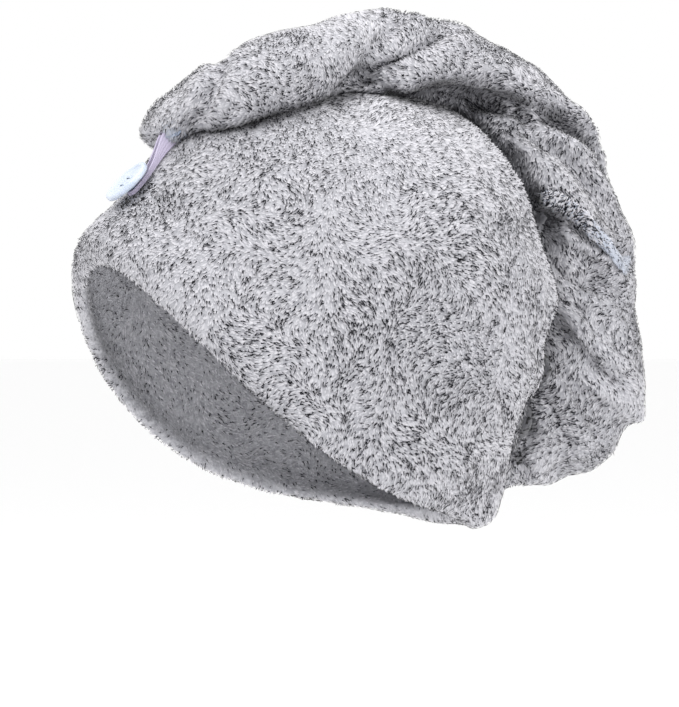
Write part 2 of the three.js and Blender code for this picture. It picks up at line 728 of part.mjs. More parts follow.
const tapeCloud = cloudOf(
  tailFace, TAIL_SPANS, 40, 40,
  { at: Math.min(TAPE_RUN.at, TAPE_RUN.toAt) - 0.8, turn: TAPE_RUN.turn - 0.1 },
  { at: Math.max(TAPE_RUN.at, TAPE_RUN.toAt) + 0.8, turn: TAPE_RUN.toTurn + 0.1 },
);

function makeTape() {
  const line = Array.from({ length: TAPE_STEPS + 1 }, (_, i) => {
    const share = i / TAPE_STEPS;
    return tailFace(
      TAPE_RUN.at + (TAPE_RUN.toAt - TAPE_RUN.at) * share,
      TAPE_RUN.turn + (TAPE_RUN.toTurn - TAPE_RUN.turn) * share ** TAPE_RUN.bend);
  });
  const rows = line.map((p, i) => {
    const run = line[Math.min(i + 1, TAPE_STEPS)].clone().sub(line[Math.max(i - 1, 0)]).normalize();
    const { out } = heightOver(tapeCloud, p);
    const across = run.clone().cross(out).normalize();
    const place = (side, lift) => {
      const spot = p.clone().addScaledVector(across, (side * TAPE_WIDTH) / 2);
      const over = heightOver(tapeCloud, spot);
      return spot.addScaledVector(over.out, lift - over.height);
    };
    return [
      ...[-1, -0.33, 0.33, 1].map((side) => place(side, TAPE_THICKNESS - TAPE_BED)),
      ...[1, 0.33, -0.33, -1].map((side) => place(side, -TAPE_BED)),
    ];
  });
  return solidFromRows(rows, false);
}

const group = new THREE.Group();

function addMesh(name, geometry, colour, roughness) {
  const material = new THREE.MeshStandardMaterial({ color: colour, roughness, metalness: 0 });
  const mesh = new THREE.Mesh(geometry, material);
  mesh.name = name;
  group.add(mesh);
}

const elastic = makeElastic();
const tape = makeTape();
const shankHole = rod(SHANK_DIAMETER / 2 + CLEARANCE, -3 * CLOTH, CLOTH).applyMatrix4(buttonFrame);
addMesh('hood', cut(makeHood(), shankHole), '#c4c4c8', 0.95);
addMesh('tail', cut(makeTail(), swollen(elastic), swollen(tape)), '#b8b8be', 0.95);
addMesh('button', makeButton(), '#dfe8f4', 0.35);
addMesh('button_thread', makeThread(), '#e6ecf4', 0.8);
addMesh('elastic_loop', elastic, '#cdc6d8', 0.7);
addMesh('seam_tape', tape, '#c9d3e4', 0.85);

export default group;
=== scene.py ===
import math

import bmesh
import bpy
import numpy as np
from mathutils import Matrix, Vector, noise
from mathutils.bvhtree import BVHTree


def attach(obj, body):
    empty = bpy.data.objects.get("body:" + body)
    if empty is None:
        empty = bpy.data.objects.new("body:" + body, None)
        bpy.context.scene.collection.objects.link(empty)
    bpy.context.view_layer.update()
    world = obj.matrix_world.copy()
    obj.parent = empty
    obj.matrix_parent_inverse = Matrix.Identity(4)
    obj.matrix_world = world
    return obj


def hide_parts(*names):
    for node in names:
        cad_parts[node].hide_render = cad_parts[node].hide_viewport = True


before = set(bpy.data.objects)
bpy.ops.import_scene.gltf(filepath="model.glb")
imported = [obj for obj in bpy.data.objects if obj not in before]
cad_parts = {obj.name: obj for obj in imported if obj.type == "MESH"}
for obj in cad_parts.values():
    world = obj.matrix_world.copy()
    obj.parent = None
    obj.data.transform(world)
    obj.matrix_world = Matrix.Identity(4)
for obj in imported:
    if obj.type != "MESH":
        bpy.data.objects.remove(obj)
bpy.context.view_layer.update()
millimetre = 0.001
scene = bpy.context.scene
# Rays start this far off the cloth, millimetres, each turned by this angle from the last
rayStart = 1.5
goldenAngle = 2.39996
print("frame loaded")


# sRGB hex to linear
def linearColour(code):
    channels = [int(code[i:i + 2], 16) / 255 for i in (1, 3, 5)]
    return [c / 12.92 if c <= 0.04045 else ((c + 0.055) / 1.055) ** 2.4 for c in channels] + [1]


# Settings go by the name of an input or property, and links by an input's name or number
def addNode(tree, kind, settings=None, links=None):
    node = tree.nodes.new(kind)
    for key, value in (settings or {}).items():
        if key in node.inputs:
            node.inputs[key].default_value = value
        else:
            setattr(node, key, value)
    for place, socket in (links or {}).items():
        tree.links.new(socket, node.inputs[place])
    return node


def newMaterial(name, settings):
    material = bpy.data.materials.new(name)
    material.use_nodes = True
    tree = material.node_tree
    tree.nodes.clear()
    shader = addNode(tree, "ShaderNodeBsdfPrincipled", settings)
    addNode(tree, "ShaderNodeOutputMaterial", links={"Surface": shader.outputs[0]})
    return material, tree, shader


# A fact kept at the vertices, as a socket
def factOf(tree, name):
    return addNode(tree, "ShaderNodeAttribute", {"attribute_name": name}).outputs["Fac"]


def addRamp(tree, socket, stops):
    node = addNode(tree, "ShaderNodeValToRGB", links={"Fac": socket})
    ramp = node.color_ramp
    while len(ramp.elements) > 1:
        ramp.elements.remove(ramp.elements[-1])
    ramp.elements[0].position = stops[0][0]
    ramp.elements[0].color = linearColour(stops[0][1])
    for place, code in stops[1:]:
        element = ramp.elements.new(place)
        element.color = linearColour(code)
    return node.outputs["Color"]


def addBump(tree, shader, strength, distance, height):
    bump = addNode(tree, "ShaderNodeBump", {"Strength": strength, "Distance": distance}, {"Height": height})
    tree.links.new(bump.outputs["Normal"], shader.inputs["Normal"])


def meshObject(name, mesh, material, smooth=True):
    thing = bpy.data.objects.new(name, mesh)
    scene.collection.objects.link(thing)
    mesh.materials.clear()
    mesh.materials.append(material)
    mesh.polygons.foreach_set("use_smooth", [smooth] * len(mesh.polygons))
    return thing


def coordinates(mesh, what="co"):
    values = np.empty(len(mesh.vertices) * 3)
    mesh.vertices.foreach_get(what, values)
    return values.reshape(-1, 3)


def unit(vectors):
    return vectors / np.maximum(np.linalg.norm(vectors, axis=-1, keepdims=True), 1e-9)


def smoothStep(x):
    t = np.clip(x, 0, 1)
    return t * t * (3 - 2 * t)


# Camera at the photograph's angle

cameraValues = {
    "azimuth": 60, "elevation": 0.5, "distance": 1.6,
    "target": (0.0116, 0.0201, -0.1073), "lens": 181,
}


def makeCamera(values):
    azimuth = math.radians(values["azimuth"])
    elevation = math.radians(values["elevation"])
    level = math.cos(elevation)
    back = Vector((math.sin(azimuth) * level, -math.cos(azimuth) * level, math.sin(elevation)))
    data = bpy.data.cameras.new("camera")
    data.lens = values["lens"]
    camera = bpy.data.objects.new("camera", data)
    scene.collection.objects.link(camera)
    camera.location = Vector(values["target"]) + back * values["distance"]
    camera.rotation_euler = back.to_track_quat("Z", "Y").to_euler()
    scene.camera = camera


makeCamera(cameraValues)
print("camera placed")


# Fleece: polyester microfibre plush, warp-knitted with a deep brushed pile.
# Pale locks, with dark flecks between them that are painted shade in the partings of the pile.

fleeceValues = {
    # The hollow colours are painted shade, mixed in deep in the folds
    "groundDark": "#96969c", "groundLight": "#bcbcc1", "hollow": "#2c2c31",
    "lockHollowShade": "#6a6a70", "lockRootShade": "#b9b8be",
    "lockMid": "#cfced4", "lockPale": "#dddce1", "lockPalest": "#ebeaee",
    "fleckDark": "#17171b", "fleckSoft": "#5c5c63",
}
# The same plush dyed bluish, a strip of it covering the tail's seam
tapeColours = {
    # The hollow colours are painted shade, mixed in deep in the folds
    "groundDark": "#969cab", "groundLight": "#b7bdcb", "hollow": "#6a6f7c",
    "lockHollowShade": "#9aa0ae", "lockRootShade": "#b3b9c8",
    "lockMid": "#ccd2df", "lockPale": "#d9deea", "lockPalest": "#e7ebf4",
    "fleckDark": "#41454f", "fleckSoft": "#7d8391",
}


# Shade is 1 in the open and falls to 0 deep in a fold, where the colour is mixed towards a dark one: painted shade
def hollowed(tree, colour, dark):
    mix = addNode(tree, "ShaderNodeMix", {"data_type": "RGBA"}, {0: factOf(tree, "shade"), 7: colour})
    mix.inputs[6].default_value = linearColour(dark)
    return mix.outputs[2]


def makeGroundMaterial(name, values):
    material, tree, shader = newMaterial(name, {
        "Roughness": 0.95, "Specular IOR Level": 0.1, "Sheen Weight": 0.3, "Sheen Roughness": 0.5})
    where = addNode(tree, "ShaderNodeTexCoord").outputs["Object"]
    blotch = addNode(tree, "ShaderNodeTexNoise", {"Scale": 420, "Detail": 4, "Roughness": 0.6}, {"Vector": where})
    ramp = addRamp(tree, blotch.outputs["Fac"], [(0.35, values["groundDark"]), (0.65, values["groundLight"])])
    tree.links.new(hollowed(tree, ramp, values["hollow"]), shader.inputs["Base Color"])
    grain = addNode(tree, "ShaderNodeTexNoise", {"Scale": 900, "Detail": 3}, {"Vector": where})
    addBump(tree, shader, 0.8, 0.0008, grain.outputs["Fac"])
    return material


def makePileMaterial(name, values):
    material, tree, shader = newMaterial(name, {
        "Roughness": 0.85, "Specular IOR Level": 0.15, "Sheen Weight": 0.35, "Sheen Roughness": 0.4})
    yarn = addRamp(tree, factOf(tree, "tone"), [
        (0.0, values["lockMid"]), (0.5, values["lockPale"]), (1.0, values["lockPalest"])])
    # Each lock is darker at its root than at its tip, by rise: painted shade down in the pile
    lock = addNode(tree, "ShaderNodeMix", {"data_type": "RGBA"}, {0: factOf(tree, "rise"), 7: yarn})
    lock.inputs[6].default_value = linearColour(values["lockRootShade"])
    tree.links.new(hollowed(tree, lock.outputs[2], values["lockHollowShade"]), shader.inputs["Base Color"])
    return material


# Flecks: nearly black tufts set in the partings between locks, painted shade
def makeFleckMaterial(name, values):
    material, tree, shader = newMaterial(name, {"Roughness": 0.9, "Specular IOR Level": 0.05})
    ramp = addRamp(tree, factOf(tree, "tone"), [
        (0.0, values["fleckDark"]), (0.6, values["fleckDark"]), (1.0, values["fleckSoft"])])
    tree.links.new(ramp, shader.inputs["Base Color"])
    return material


groundMaterial = makeGroundMaterial("fleeceGround", fleeceValues)
pileMaterial = makePileMaterial("fleecePile", fleeceValues)
fleckMaterial = makeFleckMaterial("fleeceFlecks", fleeceValues)
tapeGroundMaterial = makeGroundMaterial("tapeGround", tapeColours)
tapePileMaterial = makePileMaterial("tapePile", tapeColours)
tapeFleckMaterial = makeFleckMaterial("tapeFlecks", tapeColours)


# Cloth shells, each grown from its own solid so that it lies where the solid does

hoodValues = {
    "voxel": 2.6, "smoothing": 12, "inset": 0.9, "deepen": 0.4,
    "swell": 0.5, "swellSize": 26, "ripple": 0.25, "rippleSize": 9,
    "beside": "tail",
}
# Behind, the tail falls away from the hood's fold and leaves a dark crevice
tailValues = {
    "voxel": 2.0, "smoothing": 8, "inset": 0.9, "deepen": 0.9,
    "swell": 0.7, "swellSize": 22, "ripple": 0.45, "rippleSize": 9,
    "beside": "hood", "creviceFrom": 80, "creviceOver": 20, "crevice": 5.0, "creviceWidth": 6.5,
}
# Cloth swells to touch its neighbour, and its own relief is deepened, millimetres
touchValues = {"gain": 0.9, "width": 4, "limit": 30}
reliefRounds = 60
reliefLimits = (-4, 0.8)

# Creases and valleys that show sharper than in the solids, millimetres
foldRows = [
    {"on": "hood", "depth": 1.8, "width": 5, "line": [(69, 89, -77), (69, 90, -86), (70, 90, -95), (71, 88, -105)]},
    {"on": "hood", "depth": 1.5, "width": 5, "line": [(21, 11, 5), (29, 10, 2), (37, 9, -3)]},
    {"on": "hood", "depth": 2.0, "width": 6, "line": [(78, 63, -119), (74, 70, -127), (71, 75, -134)]},
    {"on": "tail", "depth": 3.2, "width": 6, "line": [(15, -40, 19), (21, -50, 9), (18, -54, -1), (11, -56, -9)]},
    {"on": "tail", "depth": 1.8, "width": 5, "line": [(28, -34, 18), (33, -41, 4), (29, -44, -3)]},
    {"on": "tail", "depth": 6.0, "width": 9, "line": [
        (14, 79, 43), (22, 68, 40), (27, 58, 34), (27.5, 50, 30), (25, 41, 25), (20.5, 33, 19), (16.5, 26, 13)]},
    {"on": "tail", "depth": 3.5, "width": 6, "line": [(17, 28, 16), (21, 36, 11), (12, 57, 12), (13, 67, 11)]},
    {"on": "tail", "depth": 5.0, "width": 7, "line": [
        (12, 67, 10), (18, 91, 11), (26, 103, 10), (31, 112, 6), (31, 124, 1), (30, 138, -7), (27, 150, -17)]},
    {"on": "tail", "depth": 3.0, "width": 4.5, "line": [(28, 106, 7), (28, 110, 3), (28, 112, -1)]},
    {"on": "tail", "depth": 1.6, "width": 5, "line": [(28, 112, 0), (35, 128, -7), (27, 151, -20)]},
    {"on": "tail", "depth": 1.4, "width": 5, "line": [(34, 107, -10), (36, 125, -16), (38, 141, -31)]},
    {"on": "tail", "depth": 1.4, "width": 5, "line": [(32, 117, 3), (31, 133, -1), (28, 144, -9)]},
    {"on": "tail", "depth": 6.5, "width": 7, "line": [
        (40, 103, -36), (42, 108, -44), (42, 112, -52), (45, 115, -63)]},
    {"on": "tail", "depth": 4.5, "width": 5, "line": [
        (41, 107, -46), (46, 116, -47), (50, 127, -52), (53, 136, -57), (35, 160, -62)]},
    {"on": "tail", "depth": 4.5, "width": 6, "line": [
        (45, 115, -64), (46, 119, -72), (47, 126, -75), (45, 136, -77)]},
    {"on": "tail", "depth": 5.5, "width": 7, "line": [
        (43, 114, -93), (44, 120, -99), (45, 128, -107), (45, 136, -115), (46, 145, -119), (43, 154, -122)]},
    {"on": "tail", "depth": 5.0, "width": 8, "line": [
        (41, 103, -112), (41, 110, -120), (38, 117, -131), (36, 124, -142), (28, 134, -153)]},
    {"on": "tail", "depth": 4.0, "width": 8, "line": [
        (40, 114, -101), (42, 108, -111), (41, 104, -122), (36, 106, -131), (32, 108, -140)]},
    {"on": "tail", "depth": 3.5, "width": 6, "line": [
        (32, 108, -140), (29, 111, -149), (22, 111, -157), (12, 119, -166)]},
    {"on": "tail", "depth": 1.8, "width": 6, "line": [(47, 137, -83), (46, 144, -94), (48, 147, -106)]},
    {"on": "tail", "depth": 1.8, "width": 7, "line": [(45, 125, -83), (47, 132, -92), (48, 136, -103)]},
]


# Soft shifts around a place, millimetres: rightwards as the photograph sees it, and up
shiftRows = [
    {"on": "tail", "at": (-8, -55, 14), "reach": 20, "right": 0, "up": -6.5},
    {"on": "tail", "at": (-17, -66, -5), "reach": 14, "right": 3, "up": 0},
    {"on": "tail", "at": (14, -36, 21), "reach": 9, "right": 0, "up": 4},
    {"on": "tail", "at": (16, -2, 33), "reach": 17, "right": 0, "up": 3.6},
    {"on": "tail", "at": (14, 37, 45), "reach": 13, "right": 0, "up": -5.5},
    {"on": "tail", "at": (10, 56, 42), "reach": 8, "right": 0, "up": 4.5},
    {"on": "tail", "at": (12, 106, 24), "reach": 22, "right": -5.5, "up": -6},
    {"on": "tail", "at": (8, 146, -22), "reach": 20, "right": -7.5, "up": -1},
    {"on": "tail", "at": (25, 158, -60), "reach": 14, "right": 4.5, "up": 1},
    {"on": "tail", "at": (25, 160, -88), "reach": 16, "right": 5.2, "up": 0},
    {"on": "tail", "at": (37, 162, -113), "reach": 9, "right": -3.5, "up": 0},
    {"on": "tail", "at": (24, 162, -144), "reach": 14, "right": 10.5, "up": -1.5},
    {"on": "tail", "at": (18, 138, -166), "reach": 16, "right": 0, "up": 3},
    {"on": "hood", "at": (56, 98, -49), "reach": 13, "right": -3, "up": 0},
    {"on": "hood", "at": (60, 103, -103), "reach": 12, "right": -4.5, "up": 0},
    {"on": "hood", "at": (52, 98, -143), "reach": 32, "right": -7.5, "up": 0},
    {"on": "hood", "at": (40, 72, -177), "reach": 17, "right": 8, "up": -5},
]


def shifted(points, node):
    azimuth = math.radians(cameraValues["azimuth"])
    right = np.array([math.cos(azimuth), math.sin(azimuth), 0])
    moved = points.copy()
    for row in shiftRows:
        if row["on"] == node:
            apart = np.linalg.norm(points / millimetre - np.array(row["at"]), axis=1)
            share = np.exp(-(apart / row["reach"]) ** 2)[:, None]
            moved += share * (right * row["right"] + np.array([0, 0, row["up"]])) * millimetre
    return moved


def weldedCopy(node):
    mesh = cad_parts[node].data.copy()
    form = bmesh.new()
    form.from_mesh(mesh)
    bmesh.ops.remove_doubles(form, verts=form.verts, dist=1e-6)
    form.to_mesh(mesh)
    form.free()
    return mesh


def noiseAt(points, size, seed):
    shift = Vector((seed * 7.3, seed * 3.1, seed * 5.7))
    step = 1 / (size * millimetre)
    return np.array([noise.noise(Vector(p) * step + shift) for p in points])


# Distance from each point to a line, and 0.45 at the line's ends rising to 1 along it
def distanceTo(points, line):
    nearest = np.full(len(points), 1e9)
    fade = np.ones(len(points))
    pieces = len(line) - 1
    for index in range(pieces):
        start, run = line[index], line[index + 1] - line[index]
        share = np.clip((points - start) @ run / (run @ run), 0, 1)
        apart = np.linalg.norm(points - start - share[:, None] * run, axis=1)
        closer = apart < nearest
        nearest[closer] = apart[closer]
        fade[closer] = np.sin(np.pi * (index + share[closer]) / pieces)
    return nearest, np.minimum(1, 0.45 + fade)


foldSharpness = {"hood": 1.1, "tail": 1.3}


def foldDepth(points, node):
    depth = np.zeros(len(points))
    for row in foldRows:
        if row["on"] != node:
            continue
        apart, fade = distanceTo(points, np.array(row["line"], float) * millimetre)
        near = np.clip(apart / (row["width"] * millimetre), 0, 2)
        valley = np.clip(1 - near, 0, 1) ** 1.4
        lip = 0.3 * np.exp(-((near - 1.25) / 0.35) ** 2)
        depth += row["depth"] * foldSharpness[node] * fade * (valley - lip)
    return depth


# The mesh's points after rounds of smoothing, without changing the mesh
def eased(mesh, times):
    form = bmesh.new()
    form.from_mesh(mesh)
    for _ in range(times):
        bmesh.ops.smooth_vert(form, verts=form.verts, factor=0.5, use_axis_x=True, use_axis_y=True, use_axis_z=True)
    points = np.array([vertex.co[:] for vertex in form.verts])
    form.free()
    return points


def remeshed(name, node, voxel, smoothing, material):
    thing = meshObject(name, weldedCopy(node), material)
    remesh = thing.modifiers.new("remesh", "REMESH")
    remesh.mode = "VOXEL"
    remesh.voxel_size = voxel * millimetre
    finished = bpy.data.meshes.new_from_object(thing.evaluated_get(bpy.context.evaluated_depsgraph_get()))
    thing.modifiers.clear()
    thing.data = finished
    finished.vertices.foreach_set("co", eased(finished, smoothing).ravel())
    finished.polygons.foreach_set("use_smooth", [True] * len(finished.polygons))
    finished.materials.clear()
    finished.materials.append(material)
    finished.update()
    return thing


def treeOf(meshes):
    vertices, faces = [], []
    for mesh in meshes:
        start = len(vertices)
        vertices.extend(v.co.copy() for v in mesh.vertices)
        faces.extend([start + i for i in face.vertices] for face in mesh.polygons)
    return BVHTree.FromPolygons(vertices, faces)


def distancesTo(points, tree, reach):
    found = (tree.find_nearest(point, reach * millimetre)[3] for point in points.tolist())
    return np.array([reach if apart is None else apart / millimetre for apart in found])


def makeCloth(name, node, values):
    thing = remeshed(name, node, values["voxel"], values["smoothing"], groundMaterial)
    finished = thing.data
    points = coordinates(finished)
    normals = coordinates(finished, "normal")
    relief = np.sum((points - eased(finished, reliefRounds)) * normals, axis=1) / millimetre
    push = values["deepen"] * np.clip(relief, *reliefLimits)
    push += values["swell"] * noiseAt(points, values["swellSize"], 1)
    push += values["ripple"] * noiseAt(points, values["rippleSize"], 2)
    push -= foldDepth(points, node)
    apart = distancesTo(points, treeOf([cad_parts[values["beside"]].data]), touchValues["limit"])
    touch = np.exp(-(apart / touchValues["width"]) ** 2)
    if "crevice" in values:
        behind = smoothStep((points[:, 1] / millimetre - values["creviceFrom"]) / values["creviceOver"])
        push += touchValues["gain"] * (1 - behind) * touch
        push -= values["crevice"] * behind * np.exp(-(apart / values["creviceWidth"]) ** 2)
    else:
        push += touchValues["gain"] * touch
    points += normals * ((push - values["inset"]) * millimetre)[:, None]
    finished.vertices.foreach_set("co", shifted(points, node).ravel())
    finished.update()
    return thing


hoodCloth = makeCloth("hoodCloth", "hood", hoodValues)
tailCloth = makeCloth("tailCloth", "tail", tailValues)
print("cloth grown:", len(hoodCloth.data.polygons), len(tailCloth.data.polygons))


# Pile: pale locks of fibre that lie along the nap, and dark flecks where two locks part, painted shade in the
# partings.
# Lengths in millimetres; "choose" is how many places are tried for each lock kept.

lockValues = {
    "length": 2.1, "width": 1.25, "flat": 1, "stand": 0.44, "stray": 0.28, "rear": 1,
    "bunch": 2.0, "gather": 0.55, "lift": -0.5, "patch": 0, "crease": 0, "calm": 0.78,
    "choose": 1, "crown": 1,
}
fleckValues = {
    "length": 1.9, "width": 0.5, "flat": 0.3, "stand": 0.04, "stray": 0.3, "rear": 0.3,
    "bunch": 2.0, "gather": 0.05, "lift": 1.0, "patch": 0.45, "crease": 2.2, "calm": 0.3,
    "choose": 2.2, "crown": 0.6,
}
hoodNap = {"napFrom": (0.02, -0.05, 0.25), "inside": 0.25}
tailNap = {"napFrom": (0.0, 0.3, 0.1), "inside": 1.0, "crown": 1}
# For all pile: swirls and curls of the nap in radians, patches with more flecks, the part below
# the crown, with more of them too as painted shade on the lower side, and how far locks differ
pileValues = {
    "swirl": 2.6, "swirlSize": 48, "curl": 1.5, "curlSize": 15,
    "patchSize": 38, "finePatch": 0.6, "finePatchSize": 12, "patchGain": 1.6, "patchLimits": (0.15, 2.2),
    "middle": (0, 0.01, -0.08), "belowTilt": (0.35, 0.94), "belowFrom": 0.01, "belowOver": 0.09,
    "lengths": (0.7, 1.25), "widths": (0.7, 1.3), "footWidth": 1.3, "bunchTone": 0.6, "bunchSeed": 7,
}
# Room is how freely the pile can stand, and shade how open the cloth is to light near by, which darkens the colours
# as painted shade
groundValues = {
    "rays": 9, "reach": 0.3, "roomGain": 6, "roomLeast": 0.2,
    "nearRays": 14, "nearReach": 0.028, "rounds": 2, "shadeFrom": 0.12, "shadeOver": 0.68, "shadeLeast": 0.15,
    # Behind, near the hood's edge, the tail's colours are darkened further: painted shade in the crevice
    "behindFrom": 70, "behindOver": 25, "edgeShade": 0.6, "edgeReach": 13, "edgeLimit": 40,
    "trimGap": 0.4, "trimOver": 1.0, "tapeGap": 0.3, "tapeOver": 0.5, "gapLimit": 4,
}


# Values at a mesh's vertices, each evened out with its neighbours'
def spread(mesh, values, rounds):
    ends = np.empty(len(mesh.edges) * 2, dtype=np.int32)
    mesh.edges.foreach_get("vertices", ends)
    first, second = ends[0::2], ends[1::2]
    size = len(values)
    meeting = np.bincount(ends, minlength=size) + 1
    for _ in range(rounds):
        onward = np.bincount(first, values[second], size)
        values = (values + onward + np.bincount(second, values[first], size)) / meeting
    return values


# Share of the directions out of the cloth that meet nothing within reach, at each vertex
def opennessOf(mesh, tree, rays, reach):
    points = coordinates(mesh)
    normals = coordinates(mesh, "normal")
    across = np.where(np.abs(normals[:, 2:]) < 0.9, [[0.0, 0.0, 1.0]], [[1.0, 0.0, 0.0]])
    across = unit(np.cross(normals, across))
    side = np.cross(normals, across)
    starts = (points + normals * (rayStart * millimetre)).tolist()
    opened = np.zeros(len(points))
    for ray in range(rays):
        height = math.sqrt(1 - (ray + 0.5) / rays)
        level = math.sqrt(1 - height ** 2)
        turn = ray * goldenAngle
        ways = normals * height + across * level * math.cos(turn) + side * level * math.sin(turn)
        opened += [tree.ray_cast(start, way, reach)[0] is None for start, way in zip(starts, ways.tolist())]
    return opened / rays


def roomOf(mesh, tree, rays):
    return spread(mesh, opennessOf(mesh, tree, rays, groundValues["reach"]), 1)


def shadeOf(mesh, tree, values):
    near = spread(mesh, opennessOf(mesh, tree, values["nearRays"], values["nearReach"]), values["rounds"])
    return smoothStep((near - values["shadeFrom"]) / values["shadeOver"])


def keepShade(mesh, shade):
    mesh.attributes.new("shade", "FLOAT", "POINT").data.foreach_set("value", shade)


# The way the pile is brushed: away from one side, turned by slow swirls
def napOf(points, normals, values):
    away = unit(points - np.array(values["napFrom"]))
    away -= normals * np.sum(away * normals, axis=1, keepdims=True)
    away = unit(away)
    side = np.cross(normals, away)
    turn = pileValues["swirl"] * noiseAt(points, pileValues["swirlSize"], 5)
    turn += pileValues["curl"] * noiseAt(points, pileValues["curlSize"], 6)
    return away * np.cos(turn)[:, None] + side * np.sin(turn)[:, None]


# Each root's nearest bunch: its place, a number of its own from 0 to 1, and how much farther
# the next one is. The large numbers only scramble the cell's place.
def bunchesOf(points, size):
    scaled = points / (size * millimetre)
    cell = np.floor(scaled).astype(np.int64)
    nearest = np.full(len(points), 1e9)
    second = nearest.copy()
    place = np.zeros_like(points)
    number = np.zeros(len(points))
    for step in np.ndindex(3, 3, 3):
        other = cell + np.array(step) - 1
        code = (other[:, 0] * 73856093) ^ (other[:, 1] * 19349663) ^ (other[:, 2] * 83492791)
        code ^= pileValues["bunchSeed"]
        parts = [((code * k + 12345) % 1000003) / 1000003 for k in (2654435761, 40503, 2246822519, 97531)]
        centre = other + np.stack(parts[:3], axis=1)
        apart = np.linalg.norm(scaled - centre, axis=1)
        closer = apart < nearest
        second = np.where(closer, nearest, np.minimum(second, apart))
        nearest[closer] = apart[closer]
        place[closer] = centre[closer] * size * millimetre
        number[closer] = parts[3][closer]
    return place, number, second - nearest


# What the pile needs to know of a cloth, at each vertex
def groundOf(cloth, values, beside=None):
    mesh = cloth.data
    points = coordinates(mesh)
    room = roomOf(mesh, everything, values["rays"])
    shade = shadeOf(mesh, everything, values)
    # Behind, near the hood's edge, the shade is deepened: painted shade in the crevice
    if beside is not None:
        behind = smoothStep((points[:, 1] / millimetre - values["behindFrom"]) / values["behindOver"])
        apart = distancesTo(points, beside, values["edgeLimit"])
        shade *= 1 - values["edgeShade"] * behind * np.exp(-(apart / values["edgeReach"]) ** 2)
    shade = np.maximum(shade, values["shadeLeast"])
    keepShade(mesh, shade)
    fromTrims = distancesTo(points, trims, values["gapLimit"])
    fromTape = distancesTo(points, tapeSolid, values["gapLimit"])
    clear = smoothStep((fromTrims - values["trimGap"]) / values["trimOver"])
    clear *= smoothStep((fromTape - values["tapeGap"]) / values["tapeOver"])
    return {"room": np.maximum(smoothStep(room * values["roomGain"]), values["roomLeast"]) * clear, "shade": shade}


# How much pile grows at each vertex
def weightOf(points, normals, ground, values):
    common = pileValues
    inwards = np.sum(normals * (points - np.array(common["middle"])), axis=1) < 0
    weight = ground["room"] * np.where(inwards, values["inside"], 1)
    patch = noiseAt(points, common["patchSize"], 8)
    patch += common["finePatch"] * noiseAt(points, common["finePatchSize"], 9)
    weight *= np.clip(1 + common["patchGain"] * values["patch"] * patch, *common["patchLimits"])
    # Fewer flecks on the crown than below it: painted shade on the lower side
    back, down = common["belowTilt"]
    below = back * points[:, 1] - down * points[:, 2] - common["belowFrom"]
    below = smoothStep(below / common["belowOver"])
    weight *= values["crown"] + (1 - values["crown"]) * below
    # Flecks crowd where the shade is low, except on inward faces: painted shade in the creases
    weight *= 1 + values["crease"] * (1 - ground["shade"]) * np.where(inwards, 0, 1)
    return weight


# A tuft is a slim pyramid: three corners at its foot, then its tip
tuftTurns = (math.pi / 2, math.pi * 7 / 6, math.pi * 11 / 6)
tuftFaces = ((1, 0, 3), (2, 1, 3), (0, 2, 3), (0, 1, 2))


def tuftMesh(name, vertices, facts):
    count = len(vertices) // 4
    first = (np.arange(count) * 4)[:, None]
    own = np.concatenate([first + np.array(face) for face in tuftFaces], axis=1).reshape(-1, 3)
    mesh = bpy.data.meshes.new(name)
    mesh.vertices.add(count * 4)
    mesh.vertices.foreach_set("co", vertices.ravel())
    mesh.loops.add(len(own) * 3)
    mesh.loops.foreach_set("vertex_index", own.ravel().astype(np.int32))
    mesh.polygons.add(len(own))
    mesh.polygons.foreach_set("loop_start", np.arange(0, len(own) * 3, 3, dtype=np.int32))
    mesh.update(calc_edges=True)
    for fact, amounts in facts.items():
        mesh.attributes.new(fact, "FLOAT", "POINT").data.foreach_set("value", amounts)
    return mesh


